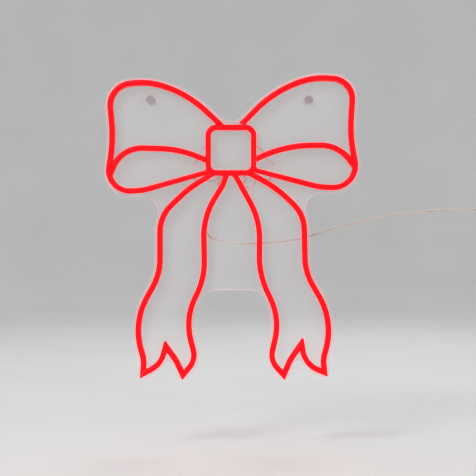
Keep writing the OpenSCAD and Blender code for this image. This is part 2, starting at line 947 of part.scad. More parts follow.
neck_r = 2.2;
neck_l = 8;
module plug_grip() {
    color("dimgray") at_plug()
        rotate_extrude()
            polygon([[0, 0], [neck_r, 0], [neck_r + 0.8, neck_l], [grip_d / 2, neck_l + 2],
                [grip_d / 2, plug_grip_l - 1], [grip_d / 2 - 1, plug_grip_l], [0, plug_grip_l]]);
}

module plug_barrel() {
    color("silver") at_plug() translate([0, 0, plug_grip_l])
        difference() {
            cylinder(d = plug_tip_d, h = plug_tip_l);
            translate([0, 0, -1]) cylinder(d = plug_bore_d, h = plug_tip_l + 2);
        }
}

backing_plate();
knot_tube();
left_loop_tube();
right_loop_tube();
left_fold_tube();
right_fold_tube();
left_tail_outer_tube();
left_notch_outer_tube();
left_notch_inner_tube();
left_tail_inner_tube();
right_tail_inner_tube();
right_notch_inner_tube();
right_notch_outer_tube();
right_tail_outer_tube();
knot_led_strip();
left_loop_led_strip();
right_loop_led_strip();
left_fold_led_strip();
right_fold_led_strip();
left_tail_led_strip();
right_tail_led_strip();
led_chips();
tube_end_caps();
jumper_wires();
left_standoff_barrel();
left_rear_washer();
left_front_washer();
left_standoff_cap();
right_standoff_barrel();
right_rear_washer();
right_front_washer();
right_standoff_cap();
lead_gland();
power_lead();
lead_coil();
coil_tie();
hook_base();
hook_pad();
switch_lead();
switch_shell_back();
switch_shell_front();
switch_rocker();
rocker_pin();
switch_contacts();
plug_lead();
plug_grip();
plug_barrel();
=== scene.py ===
"""A wall sign in the shape of a ribbon bow: lit silicone tubes on a clear plate."""
import math

import bmesh
import bpy
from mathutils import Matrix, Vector


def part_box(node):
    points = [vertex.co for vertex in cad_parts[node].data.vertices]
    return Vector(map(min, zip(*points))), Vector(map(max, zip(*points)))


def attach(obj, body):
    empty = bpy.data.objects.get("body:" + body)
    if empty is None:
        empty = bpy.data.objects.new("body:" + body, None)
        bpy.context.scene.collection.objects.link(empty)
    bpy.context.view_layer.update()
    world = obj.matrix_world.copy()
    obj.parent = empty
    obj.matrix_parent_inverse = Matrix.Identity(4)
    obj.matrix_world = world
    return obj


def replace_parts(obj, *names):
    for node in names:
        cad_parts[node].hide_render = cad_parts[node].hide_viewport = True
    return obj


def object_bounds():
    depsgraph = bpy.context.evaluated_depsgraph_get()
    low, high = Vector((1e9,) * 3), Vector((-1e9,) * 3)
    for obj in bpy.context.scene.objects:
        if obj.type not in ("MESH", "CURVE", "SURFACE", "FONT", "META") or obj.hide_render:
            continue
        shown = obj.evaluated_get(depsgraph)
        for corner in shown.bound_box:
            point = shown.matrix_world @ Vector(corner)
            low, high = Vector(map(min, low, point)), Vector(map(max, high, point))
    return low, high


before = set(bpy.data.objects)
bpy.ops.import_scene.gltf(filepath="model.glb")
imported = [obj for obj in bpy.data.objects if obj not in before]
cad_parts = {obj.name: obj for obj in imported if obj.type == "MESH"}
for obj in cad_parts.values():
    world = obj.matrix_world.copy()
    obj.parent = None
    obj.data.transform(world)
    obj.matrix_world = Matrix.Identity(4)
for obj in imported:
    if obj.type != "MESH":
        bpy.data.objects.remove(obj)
cad_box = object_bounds()
scene = bpy.context.scene
MM = 0.001

# ---- Camera: straight on ----

VIEW_WIDTH = 0.6885  # what the picture spans at the front of the tubes
VIEW_CENTRE = (0.01225, -0.201)  # right and up, from the middle of the fixings
VIEW_DISTANCE = 1.8
SENSOR = 36

tube_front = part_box("knot_tube")[0].y
tube_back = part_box("knot_tube")[1].y


def make_camera():
    """The camera, level and square to the wall."""
    data = bpy.data.cameras.new("camera")
    data.sensor_width = SENSOR
    data.lens = SENSOR * VIEW_DISTANCE / VIEW_WIDTH
    camera = bpy.data.objects.new("camera", data)
    camera.location = (VIEW_CENTRE[0], tube_front - VIEW_DISTANCE, VIEW_CENTRE[1])
    camera.rotation_euler = (math.radians(90), 0, 0)
    scene.collection.objects.link(camera)
    scene.camera = camera


make_camera()

# ---- Materials ----


def new_material(name):
    """A material, its node tree and its shader."""
    made = bpy.data.materials.new(name)
    made.use_nodes = True
    tree = made.node_tree
    return made, tree, tree.nodes["Principled BSDF"]


def node(tree, kind, **settings):
    """A new node, with its settings."""
    made = tree.nodes.new(kind)
    for name, value in settings.items():
        setattr(made, name, value)
    return made


def noise(tree, scale, detail=4.0, stretch=(1, 1, 1)):
    """Noise over the piece's own coordinates, in features per metre."""
    place = node(tree, "ShaderNodeTexCoord")
    mapping = node(tree, "ShaderNodeMapping")
    mapping.inputs["Scale"].default_value = stretch
    tree.links.new(place.outputs["Object"], mapping.inputs["Vector"])
    made = node(tree, "ShaderNodeTexNoise")
    made.inputs["Scale"].default_value = scale
    made.inputs["Detail"].default_value = detail
    tree.links.new(mapping.outputs["Vector"], made.inputs["Vector"])
    return made.outputs["Fac"]


def tint(tree, shader, factor, dark, light, low=0.3, high=0.7):
    """The base colour, from dark to light as a factor rises."""
    ramp = node(tree, "ShaderNodeValToRGB")
    ramp.color_ramp.elements[0].position = low
    ramp.color_ramp.elements[0].color = (*dark, 1)
    ramp.color_ramp.elements[1].position = high
    ramp.color_ramp.elements[1].color = (*light, 1)
    tree.links.new(factor, ramp.inputs["Fac"])
    tree.links.new(ramp.outputs["Color"], shader.inputs["Base Color"])


def vary_roughness(tree, shader, factor, low, high):
    """The roughness, from low to high as a factor rises."""
    span = node(tree, "ShaderNodeMapRange")
    span.inputs["To Min"].default_value = low
    span.inputs["To Max"].default_value = high
    tree.links.new(factor, span.inputs["Value"])
    tree.links.new(span.outputs["Result"], shader.inputs["Roughness"])


def bump(tree, shader, factor, depth, strength=1.0):
    """Raised and sunken grain, of a depth in metres."""
    made = node(tree, "ShaderNodeBump")
    made.inputs["Strength"].default_value = strength
    made.inputs["Distance"].default_value = depth
    tree.links.new(factor, made.inputs["Height"])
    tree.links.new(made.outputs["Normal"], shader.inputs["Normal"])


def silicone(name, glow, colour=(0.42, 0.0015, 0.004)):
    """Red silicone, lit from inside: fine moulding grain and a little dust."""
    made, tree, shader = new_material(name)
    dark = tuple(0.8 * c for c in colour)
    tint(tree, shader, noise(tree, 90), dark, colour)
    vary_roughness(tree, shader, noise(tree, 400), 0.38, 0.55)
    bump(tree, shader, noise(tree, 1800, 2), 0.04 * MM, 0.5)
    shader.inputs["Specular IOR Level"].default_value = 0.12
    shader.inputs["Emission Color"].default_value = (1.0, 0.0014, 0.0042, 1)
    shader.inputs["Emission Strength"].default_value = glow
    return made


def acrylic(name, alpha, rough, glow=0.0):
    """Clear acrylic: faint smudges in its gloss, and a hint of grey-blue. A glow above 0 is a
    painted red glow, for the tubes' light caught in the acrylic.
    """
    made, tree, shader = new_material(name)
    tint(tree, shader, noise(tree, 14), (0.80, 0.86, 0.88), (0.90, 0.94, 0.95))
    vary_roughness(tree, shader, noise(tree, 30, 6), rough, rough + 0.06)
    shader.inputs["Alpha"].default_value = alpha
    shader.inputs["IOR"].default_value = 1.49
    # Painted glow: red emission for the tubes' light carried through the acrylic; none on the
    # face, some on the rim.
    shader.inputs["Emission Color"].default_value = (1.0, 0.02, 0.04, 1)
    shader.inputs["Emission Strength"].default_value = glow
    return made


def plastic(name, dark, light, rough=0.4, grain=0.02, grain_scale=2500):
    """Moulded plastic: a spark-eroded grain and slightly uneven colour."""
    made, tree, shader = new_material(name)
    tint(tree, shader, noise(tree, 120), dark, light)
    vary_roughness(tree, shader, noise(tree, 300), rough - 0.05, rough + 0.08)
    bump(tree, shader, noise(tree, grain_scale, 2), grain * MM)
    return made


def clear_plastic(name, dark, light, alpha, rough=0.25):
    """See-through vinyl: plastic with a cloudy skin."""
    made = plastic(name, dark, light, rough, 0.01)
    made.node_tree.nodes["Principled BSDF"].inputs["Alpha"].default_value = alpha
    return made


def metal(name, dark, light, rough=0.28, stretch=(1, 1, 40)):
    """Turned or drawn metal, with fine streaks along one direction."""
    made, tree, shader = new_material(name)
    streaks = noise(tree, 160, 3, stretch)
    tint(tree, shader, streaks, dark, light)
    vary_roughness(tree, shader, streaks, rough - 0.06, rough + 0.1)
    bump(tree, shader, streaks, 0.01 * MM, 0.6)
    shader.inputs["Metallic"].default_value = 1.0
    return made


def foam(name, dark, light):
    """Closed-cell foam tape."""
    made, tree, shader = new_material(name)
    cells = node(tree, "ShaderNodeTexVoronoi")
    cells.inputs["Scale"].default_value = 1600
    place = node(tree, "ShaderNodeTexCoord")
    tree.links.new(place.outputs["Object"], cells.inputs["Vector"])
    tint(tree, shader, cells.outputs["Distance"], dark, light, 0.0, 0.8)
    bump(tree, shader, cells.outputs["Distance"], 0.15 * MM)
    shader.inputs["Roughness"].default_value = 0.85
    return made


GREY = (0.30, 0.31, 0.32)
lit_front = silicone("lit_silicone_front", 2.0)
lit_side = silicone("lit_silicone_side", 0.5)
lit_cap = silicone("lit_silicone_cap", 0.8)
plate_face = acrylic("clear_acrylic_face", 0.11, 0.04)
# The rim's red emission is a painted glow, for the tubes' light carried to the plate's edges.
plate_rim_painted_glow = acrylic("clear_acrylic_rim_painted_glow", 0.6, 0.12, 0.35)
strip_board = plastic("strip_board", (0.68, 0.66, 0.60), (0.82, 0.80, 0.74), 0.45)
led_chip = plastic("led_chip", (0.75, 0.30, 0.05), (0.95, 0.50, 0.12), 0.25)
wire_skin = clear_plastic("wire_insulation", (0.72, 0.72, 0.70), (0.84, 0.84, 0.82), 0.6)
fixing_metal = metal("fixing_metal", (0.52, 0.52, 0.53), (0.74, 0.74, 0.75))
soft_washer = clear_plastic("soft_washer", (0.70, 0.71, 0.72), (0.84, 0.85, 0.86), 0.7)
gland_silicone = plastic("gland_silicone", (0.74, 0.74, 0.72), (0.86, 0.86, 0.84), 0.5)
cable_skin = clear_plastic("clear_cable", (0.78, 0.80, 0.80), (0.90, 0.92, 0.92), 0.32, 0.12)
copper = metal("cable_core", (0.50, 0.22, 0.10), (0.80, 0.42, 0.24), 0.3)
tie_plastic = plastic("tie_plastic", (0.035, 0.035, 0.037), (0.07, 0.07, 0.075), 0.45, 0.03)
hook_plastic = plastic("hook_plastic", (0.74, 0.74, 0.72), (0.86, 0.86, 0.85), 0.3)
pad_foam = foam("adhesive_foam", GREY, (0.45, 0.46, 0.47))
switch_plastic = plastic("switch_plastic", (0.76, 0.76, 0.74), (0.86, 0.86, 0.85), 0.38, 0.03)
rocker_plastic = plastic("rocker_plastic", (0.42, 0.015, 0.015), (0.58, 0.03, 0.03), 0.25, 0.01)
pin_steel = metal("pin_steel", (0.55, 0.55, 0.56), (0.72, 0.72, 0.73))
brass = metal("contact_brass", (0.62, 0.45, 0.18), (0.85, 0.65, 0.30))
plug_plastic = plastic("plug_plastic", (0.025, 0.025, 0.027), (0.05, 0.05, 0.052), 0.42, 0.04)
plug_metal = metal("plug_metal", (0.60, 0.60, 0.60), (0.82, 0.82, 0.82), 0.2)

# ---- Helpers that make pieces ----

WELD = 1e-7  # corners of a turned piece that are closer than this are one


def on_wall(right, up, off):
    """A point from its place to the right, up, and off the wall."""
    return Vector((right, -off, up))


def smooth_course(points, step):
    """Points about a step apart on a smooth curve through the given ones."""
    made = []
    for i in range(len(points) - 1):
        a, b = points[max(i - 1, 0)], points[i]
        c, d = points[i + 1], points[min(i + 2, len(points) - 1)]
        count = max(1, math.ceil((c - b).length / step))
        for k in range(count):
            t = k / count
            made.append(0.5 * (2 * b + (c - a) * t
                               + (2 * a - 5 * b + 4 * c - d) * t ** 2
                               + (3 * b - a - 3 * c + d) * t ** 3))
    return made + [points[-1]]


def round_wire(name, course, diameter, material, detail=4):
    """A round cord or wire along a course: one open spline."""
    data = bpy.data.curves.new(name, "CURVE")
    data.dimensions = "3D"
    data.bevel_depth = diameter / 2
    data.bevel_resolution = detail
    data.use_fill_caps = True
    spline = data.splines.new("POLY")
    spline.points.add(len(course) - 1)
    for point, place in zip(spline.points, course):
        point.co = (*place, 1)
    data.materials.append(material)
    made = bpy.data.objects.new(name, data)
    scene.collection.objects.link(made)
    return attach(made, "sign")


def mesh_piece(name, bm, materials, sharp_above=40):
    """An object from a bmesh, smooth but for edges above an angle."""
    bmesh.ops.recalc_face_normals(bm, faces=bm.faces[:])
    data = bpy.data.meshes.new(name)
    bm.to_mesh(data)
    bm.free()
    for material in materials:
        data.materials.append(material)
    data.polygons.foreach_set("use_smooth", [True] * len(data.polygons))
    data.set_sharp_from_angle(angle=math.radians(sharp_above))
    made = bpy.data.objects.new(name, data)
    scene.collection.objects.link(made)
    return made


def skin(bm, rows, closed_ends=False, material=0):
    """Quads between rows of vertices, each a loop. The last row joins the first
    if closed_ends."""
    faces = []
    count = len(rows[0])
    for i in range(len(rows) if closed_ends else len(rows) - 1):
        here, there = rows[i], rows[(i + 1) % len(rows)]
        for k in range(count):
            n = (k + 1) % count
            face = bm.faces.new((here[k], there[k], there[n], here[n]))
            face.material_index = material
            faces.append(face)
    return faces


def lathe(name, profile, base, axis, materials, bands=None, sides=48):
    """A turned piece: (radius, distance along the axis) points, from its base.

    bands gives each stretch of the profile a material. A radius of 0 closes an end.
    """
    axis = Vector(axis).normalized()
    across = axis.orthogonal().normalized()
    other = axis.cross(across)
    bm = bmesh.new()
    rows = []
    for radius, along in profile:
        ring = []
        for k in range(sides):
            angle = 2 * math.pi * k / sides
            out = across * math.cos(angle) + other * math.sin(angle)
            ring.append(bm.verts.new(base + axis * along + out * radius))
        rows.append(ring)
    for i, (here, there) in enumerate(zip(rows, rows[1:])):
        skin(bm, [here, there], material=bands[i] if bands else 0)
    bmesh.ops.remove_doubles(bm, verts=bm.verts[:], dist=WELD)
    return mesh_piece(name, bm, materials)


def round_edges(piece, width, segments=2, above=30):
    """Takes the sharp edges off a piece."""
    modifier = piece.modifiers.new("round_edges", "BEVEL")
    modifier.width = width
    modifier.segments = segments
    modifier.limit_method = "ANGLE"
    modifier.angle_limit = math.radians(above)
    modifier.harden_normals = False


# ---- The lead: clear skin over two copper cores ----

LEAD = 3 * MM
CORE = 0.9 * MM
CORE_OFF = 0.62 * MM
TWIST_LENGTH = 0.11
LEAD_STEP = 2.5 * MM
# The route from the gland to the coil: right, up and off the wall.
LEAD_ROUTE = [
    (-0.0368, -0.1810, 0.0163), (-0.0366, -0.1850, 0.0163), (-0.0356, -0.1895, 0.0163),
    (-0.0336, -0.1938, 0.0162), (-0.0306, -0.1973, 0.0161), (-0.0260, -0.2008, 0.0160),
    (-0.0190, -0.2038, 0.0157), (-0.0100, -0.2062, 0.0154), (0.0000, -0.2080, 0.0150),
    (0.0120, -0.2091, 0.0145), (0.0280, -0.2092, 0.0140), (0.0460, -0.2086, 0.0135),
    (0.0660, -0.2074, 0.0130), (0.0860, -0.2052, 0.0125), (0.1060, -0.2016, 0.0120),
    (0.1260, -0.1960, 0.0115), (0.1470, -0.1890, 0.0110), (0.1680, -0.1830, 0.0105),
    (0.1900, -0.1774, 0.0100), (0.2120, -0.1724, 0.0100), (0.2340, -0.1682, 0.0100),
    (0.2560, -0.1650, 0.0100), (0.2820, -0.1624, 0.0103), (0.3100, -0.1606, 0.0106),
    (0.3380, -0.1596, 0.0108), (0.3600, -0.1592, 0.0110), (0.3740, -0.1590, 0.0110),
]
SWITCH_ROUTE = [
    (0.4010, -0.1880, 0.0017), (0.4010, -0.1940, 0.0017), (0.4010, -0.2000, 0.0025),
    (0.4010, -0.2060, 0.0044), (0.4010, -0.2120, 0.0066), (0.4010, -0.2180, 0.0078),
    (0.4010, -0.2240, 0.0080),
]
PLUG_ROUTE = [
    (0.4010, -0.2680, 0.0080), (0.4016, -0.2750, 0.0080), (0.4020, -0.2810, 0.0080),
    (0.4016, -0.2870, 0.0080), (0.4010, -0.2940, 0.0080),
]
INTO_SWITCH = 4 * MM
INTO_PLUG = 6 * MM
COIL_ROWS = 3
COIL_STEPS = 36  # points to a turn
COIL_SHIFT = 0.12  # the share of a turn over which the lead moves to its next row
DOWN = Vector((0, 0, -1))


def coil_course():
    """The turns of the coil, clockwise from its top to its right-hand side.

    They fill the outermost column from front to back, then the next from back
    to front, and so on inwards.
    """
    low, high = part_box("lead_coil")
    centre = (low + high) / 2
    middle = (high.x - low.x) / 2 - COIL_ROWS / 2 * LEAD
    rows = []
    for column in range(COIL_ROWS):
        radius = middle + (COIL_ROWS // 2 - column) * LEAD
        depths = [(COIL_ROWS // 2 - k) * LEAD for k in range(COIL_ROWS)]
        rows += [(radius, d) for d in (depths if column % 2 == 0 else depths[::-1])]
    made = []
    for turn, (radius, depth) in enumerate(rows):
        following = rows[min(turn + 1, len(rows) - 1)]
        last_turn = turn == len(rows) - 1
        for k in range(COIL_STEPS // 4 + 1 if last_turn else COIL_STEPS):
            share = k / COIL_STEPS
            shift = min(max((share - 1 + COIL_SHIFT) / COIL_SHIFT, 0), 1)
            shift = shift * shift * (3 - 2 * shift)
            r = radius + (following[0] - radius) * shift
            d = depth + (following[1] - depth) * shift
            angle = math.pi / 2 - 2 * math.pi * share
            made.append(centre + Vector((r * math.cos(angle), -d, r * math.sin(angle))))
    return made


def core_course(course, turn):
    """A core's own course: it winds slowly about the lead's."""
    made = []
    travelled = 0.0
    side = Vector((0, 1, 0))
    for i, place in enumerate(course):
        ahead = course[min(i + 1, len(course) - 1)] - course[max(i - 1, 0)]
        ahead.normalize()
        side = (side - ahead * side.dot(ahead)).normalized()
        angle = turn + 2 * math.pi * travelled / TWIST_LENGTH
        made.append(place + CORE_OFF * (side * math.cos(angle)
                                        + ahead.cross(side) * math.sin(angle)))
        if i + 1 < len(course):
            travelled += (course[i + 1] - place).length
    return made


def lead_pieces(name, course):
    """A clear skin and its two cores."""
    skin_piece = round_wire(name, course, LEAD, cable_skin)
    cores = [
        round_wire(f"{name}_core_{which}", core_course(course, turn), CORE, copper, 2)
        for which, turn in (("a", 0), ("b", math.pi))
    ]
    return skin_piece, cores


to_coil = smooth_course([on_wall(*p) for p in LEAD_ROUTE] + coil_course()[:1], LEAD_STEP)
from_coil = smooth_course([coil_course()[-1]] + [on_wall(*p) for p in SWITCH_ROUTE],
                          LEAD_STEP)
lead_course = to_coil[:-1] + coil_course()[:-1] + from_coil
lead_course.append(lead_course[-1] + DOWN * INTO_SWITCH)
plug_course = smooth_course([on_wall(*p) for p in PLUG_ROUTE], LEAD_STEP)
plug_course = ([plug_course[0] - DOWN * INTO_SWITCH] + plug_course
               + [plug_course[-1] + DOWN * INTO_PLUG])
lead, lead_cores = lead_pieces("lead", lead_course)
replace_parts(lead, "power_lead", "lead_coil", "switch_lead")
plug_cord, plug_cores = lead_pieces("plug_cord", plug_course)
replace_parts(plug_cord, "plug_lead")


GLAND_GROOVES = 3
GLAND_GROOVE = 0.35 * MM  # depth of a groove, and the length of each of its slopes


def gland_piece():
    """The strain relief: a sleeve with three grooves, narrowing to the lead."""
    low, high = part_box("lead_gland")
    tip = on_wall(*LEAD_ROUTE[0])
    radius = (high.y - low.y) / 2
    top = Vector((high.x - radius, tip.y, high.z))
    axis = tip - top
    length = axis.length
    groove = GLAND_GROOVE
    profile = [(0, 0), (radius - groove, 0), (radius, groove)]
    for k in range(GLAND_GROOVES):
        at = length * (0.16 + 0.12 * k)
        profile += [
            (radius, at), (radius - groove, at + groove),
            (radius - groove, at + 2 * groove), (radius, at + 3 * groove),
        ]
    profile += [
        (radius * 0.96, length * 0.55), (radius * 0.8, length * 0.75),
        (LEAD * 0.62, length * 0.97), (LEAD * 0.55, length), (0, length),
    ]
    made = lathe("lead_gland_sleeve", profile, top, axis, [gland_silicone])
    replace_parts(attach(made, "sign"), "lead_gland")
    return made


STRAP_WIDTH = 5.4 * MM
STRAP_THICKNESS = 0.9 * MM
STRAP_CORNER = 1.6 * MM
STRAP_STEPS = 6  # steps round each corner


def strap_piece():
    """The tie round the coil: a strap with round corners."""
    low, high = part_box("coil_tie")
    coil_low, coil_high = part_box("lead_coil")
    centre = (coil_low + coil_high) / 2
    middle = (low + high) / 2
    out = (middle - centre).normalized()
    along = Vector((0, 1, 0)).cross(out)
    depth = Vector((0, -1, 0))
    corner_at = (high.y - low.y) / 2 - STRAP_CORNER
    bm = bmesh.new()
    rows = []
    for quarter in range(4):
        cx = corner_at * (1 if quarter in (0, 3) else -1)
        cy = corner_at * (1 if quarter in (0, 1) else -1)
        for k in range(STRAP_STEPS + 1):
            angle = math.pi / 2 * (quarter + k / STRAP_STEPS)
            row = []
            for inset, side in ((0, -1), (0, 1), (STRAP_THICKNESS, 1), (STRAP_THICKNESS, -1)):
                reach = STRAP_CORNER - inset
                place = (middle + out * (cx + reach * math.cos(angle))
                         + depth * (cy + reach * math.sin(angle))
                         + along * side * STRAP_WIDTH / 2)
                row.append(bm.verts.new(place))
            rows.append(row)
    skin(bm, rows, closed_ends=True)
    tie = mesh_piece("coil_strap", bm, [tie_plastic])
    round_edges(tie, 0.25 * MM)
    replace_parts(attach(tie, "sign"), "coil_tie")
    return tie


NECK_SHARE = 0.34  # the neck's share of the grip's length
NECK_RIBS = 4
NECK_RIB_PITCH = 1.7 * MM
NECK_RIB_DEPTH = 0.45 * MM
GRIP_RIBS = 5
GRIP_RIB_PITCH = 1.6 * MM
GRIP_RIB_DEPTH = 0.4 * MM


def plug_grip_piece():
    """The plug's grip: a ribbed neck, and a body with finger ribs."""
    low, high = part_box("plug_grip")
    radius = (high.x - low.x) / 2
    length = high.z - low.z
    top = Vector(((low.x + high.x) / 2, (low.y + high.y) / 2, high.z))
    neck = NECK_SHARE * length
    profile = [(0, 0), (1.95 * MM, 0), (2.2 * MM, 0.3 * MM)]
    for k in range(NECK_RIBS):
        at = 1.2 * MM + k * NECK_RIB_PITCH
        crest = 2.25 * MM + 0.1 * MM * k
        wider = crest + 0.05 * MM
        profile += [
            (crest, at), (crest - NECK_RIB_DEPTH, at + 0.2 * MM),
            (wider - NECK_RIB_DEPTH, at + 0.8 * MM), (wider + 0.05 * MM, at + MM),
        ]
    profile += [(3.0 * MM, neck), (0.88 * radius, neck + 1.2 * MM), (radius, neck + 2.4 * MM)]
    for k in range(GRIP_RIBS):
        at = neck + 4.2 * MM + k * GRIP_RIB_PITCH
        valley = radius - GRIP_RIB_DEPTH
        profile += [
            (radius, at), (valley, at + 0.25 * MM),
            (valley, at + 0.65 * MM), (radius, at + 0.9 * MM),
        ]
    profile += [
        (radius, length - 1.2 * MM), (radius - 0.4 * MM, length - 0.35 * MM),
        (radius - 1.1 * MM, length), (0, length),
    ]
    grip = lathe("plug_body", profile, top, DOWN, [plug_plastic])
    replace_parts(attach(grip, "sign"), "plug_grip")
    return grip


BARREL_BORE = 1.05 * MM  # radius
BARREL_COLLAR = 0.55 * MM  # thickness of the plastic between bore and barrel


def plug_tip_piece():
    """The plug's metal barrel, with a plastic collar round its bore."""
    low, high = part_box("plug_barrel")
    radius = (high.x - low.x) / 2
    length = high.z - low.z
    base = Vector(((low.x + high.x) / 2, (low.y + high.y) / 2, high.z))
    bore = BARREL_BORE
    lining = bore + BARREL_COLLAR
    collar_face = length - 0.4 * MM
    profile = [
        (0, 0), (radius, 0), (radius, length - 0.25 * MM), (radius - 0.25 * MM, length),
        (lining, length), (lining, collar_face), (bore + 0.15 * MM, collar_face),
        (bore, length - 0.7 * MM), (bore, 0.4 * MM), (0, 0.4 * MM),
    ]
    metal_band, lining_band = 0, 1
    bands = [metal_band] * 4 + [lining_band] * 3 + [metal_band] * 2
    tip = lathe("plug_tip", profile, base, DOWN, [plug_metal, plug_plastic], bands)
    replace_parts(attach(tip, "sign"), "plug_barrel")
    return tip


gland = gland_piece()
strap = strap_piece()
plug = [plug_grip_piece(), plug_tip_piece()]

# ---- Light tubes ----

TUBE_WIDTH = 8 * MM
DOME_RISE = 3 * MM
DOME_POINTS = 13
FOOT_ROUND = 0.5 * MM
FLOOR = 1.2 * MM
CHANNEL_WIDTH = 5.4 * MM
CHANNEL_HEIGHT = 4 * MM
CHANNEL_ROUND = 0.2 * MM
KNOT_CORNER = 12 * MM
CAP_SHARE = 0.99  # a cap's width, as a share of its tube's
LIT, SIDE = 0, 1  # a tube's material slots

# How a tube's middle line is read off its outline.
MATCH = 0.004 * MM
SQUARE = 0.12  # how far off square two corners may be, as a share of the width
SMOOTH_TURN = math.radians(10)  # a sharper turn is a corner of the end's cut
MIN_STEP = 0.1 * MM
MAX_STEP = 12 * MM
MAX_TURN = math.radians(2.5)
LEAST_COSINE = 0.5  # keeps a sharp turn's curve from running far out
RUN_ON = 200 * MM  # how far a line is run on to find what it crosses
CUT_SLACK = 0.5 * MM
TUBE_WELD = 1e-6
PARALLEL = 1e-14


def tube_section():
    """The tube's section and its channel's: two loops of (sideways, forward)
    points, of equal length, and which stretches of the first are the lit front."""
    half = TUBE_WIDTH / 2
    depth = tube_back - tube_front
    shoulder = depth - DOME_RISE
    channel = CHANNEL_WIDTH / 2
    ceiling = FLOOR + CHANNEL_HEIGHT
    outer = [(-half + FOOT_ROUND, 0), (-half, FOOT_ROUND)]
    inner = [(-channel + CHANNEL_ROUND, FLOOR), (-channel, FLOOR + CHANNEL_ROUND)]
    for k in range(DOME_POINTS):
        angle = math.pi * (1 - k / (DOME_POINTS - 1))
        outer.append((half * math.cos(angle), shoulder + DOME_RISE * math.sin(angle)))
        inner.append((channel * (2 * k / (DOME_POINTS - 1) - 1), ceiling))
    outer += [(half, FOOT_ROUND), (half - FOOT_ROUND, 0)]
    inner += [(channel, FLOOR + CHANNEL_ROUND), (channel - CHANNEL_ROUND, FLOOR)]
    return outer, inner, range(2, 2 + DOME_POINTS - 1)


def front_outlines(node_name):
    """The loops round a CAD node's front face, as lists of (x, z) vectors."""
    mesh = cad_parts[node_name].data
    front = min(v.co.y for v in mesh.vertices)
    uses = {}
    for polygon in mesh.polygons:
        places = [mesh.vertices[i].co for i in polygon.vertices]
        if max(p.y for p in places) > front + MATCH:
            continue
        keys = [(round(p.x, 7), round(p.z, 7)) for p in places]
        for a, b in zip(keys, keys[1:] + keys[:1]):
            uses.setdefault(frozenset((a, b)), []).append((a, b))
    following = {}
    for pairs in uses.values():
        if len(pairs) == 1:
            a, b = pairs[0]
            following[a] = b
    loops = []
    while following:
        start = next(iter(following))
        loop = [start]
        place = following.pop(start)
        while place != start:
            loop.append(place)
            place = following.pop(place)
        loops.append([Vector(p) for p in loop])
    return sorted(loops, key=len, reverse=True)


def turned_area(loop):
    """A loop's area, which is negative if it runs clockwise."""
    return sum(a.x * b.y - a.y * b.x for a, b in zip(loop, loop[1:] + loop[:1])) / 2


def partners(loop):
    """For each corner of a band's outline, the corner straight across it."""
    found = {}
    count = len(loop)
    for i in range(count):
        along = (loop[(i + 1) % count] - loop[i - 1]).normalized()
        nearest = MATCH
        for j in range(count):
            across = loop[j] - loop[i]
            error = abs(across.length - TUBE_WIDTH)
            if error < nearest and abs(across.dot(along)) < SQUARE * TUBE_WIDTH:
                nearest = error
                found[i] = j
    return {i: j for i, j in found.items() if found.get(j) == i}


def stretch(items, first, last):
    """The items from one index on to another, past the end if need be."""
    count = (last - first) % len(items) + 1
    return [items[(first + k) % len(items)] for k in range(count)]


def far_reaches(loop, found, end):
    """What an outline does past its last paired corners: more places on the
    middle line, from corners with no partner, and the corners of the cut."""
    chain = stretch(loop, end, found[end])
    turns = [0.0]
    for before, here, after in zip(chain, chain[1:], chain[2:]):
        turns.append((here - before).angle(after - here))
    turns.append(0.0)
    first, last = 1, len(chain) - 2
    while turns[first] < SMOOTH_TURN:
        first += 1
    while turns[last] < SMOOTH_TURN:
        last -= 1
    places = []
    for i in [*range(1, first), *range(len(chain) - 2, last, -1)]:
        before = (chain[i] - chain[i - 1]).normalized()
        after = (chain[i + 1] - chain[i]).normalized()
        along = (before + after).normalized()
        inwards = Vector((-along.y, along.x))
        places.append((chain[i] + inwards * TUBE_WIDTH / 2, along if i < first else -along))
    cut = chain[first:last + 1]
    # The line along a smooth side may run just outside the outline's own corners.
    cut[0] = cut[0] + (cut[0] - cut[1]).normalized() * CUT_SLACK
    cut[-1] = cut[-1] + (cut[-1] - cut[-2]).normalized() * CUT_SLACK
    return places, cut


def tube_course(node_name):
    """A tube's middle line as places and directions, and the corners of the
    cut at each of its ends."""
    loop = front_outlines(node_name)[0]
    if turned_area(loop) < 0:
        loop.reverse()
    found = partners(loop)
    paired = sorted(found)
    # At an end, the next paired corner along the outline is the corner across.
    ends = [i for i, n in zip(paired, paired[1:] + paired[:1]) if found[i] == n]
    (before, near), (after, far) = [far_reaches(loop, found, i) for i in ends]
    course = [(place, -direction) for place, direction in reversed(before)]
    for i in stretch(range(len(loop)), found[ends[0]], ends[1]):
        if i in found:
            across = (loop[found[i]] - loop[i]).normalized()
            course.append(((loop[i] + loop[found[i]]) / 2, Vector((across.y, -across.x))))
    return onwards(course + after), near, far


def onwards(course):
    """The places of a course that each lie ahead of the one before."""
    made = course[:1]
    for place, way in course[1:]:
        last_place, last_way = made[-1]
        if (place - last_place).dot(last_way) > MIN_STEP:
            made.append((place, way))
    return made


def finer(course):
    """More points on the smooth line that has those directions at its points."""
    made = []
    for (a, u), (b, v) in zip(course, course[1:]):
        chord = (b - a).length
        turn = u.angle(v)
        reach = chord / max(math.cos(turn / 2), LEAST_COSINE)
        count = max(1, math.ceil(turn / MAX_TURN), math.ceil(chord / MAX_STEP))
        for k in range(count):
            t = k / count
            place = ((2 * t ** 3 - 3 * t ** 2 + 1) * a + (t ** 3 - 2 * t ** 2 + t) * reach * u
                     + (3 * t ** 2 - 2 * t ** 3) * b + (t ** 3 - t ** 2) * reach * v)
            made.append((place, u.lerp(v, t).normalized()))
    return made + [course[-1]]


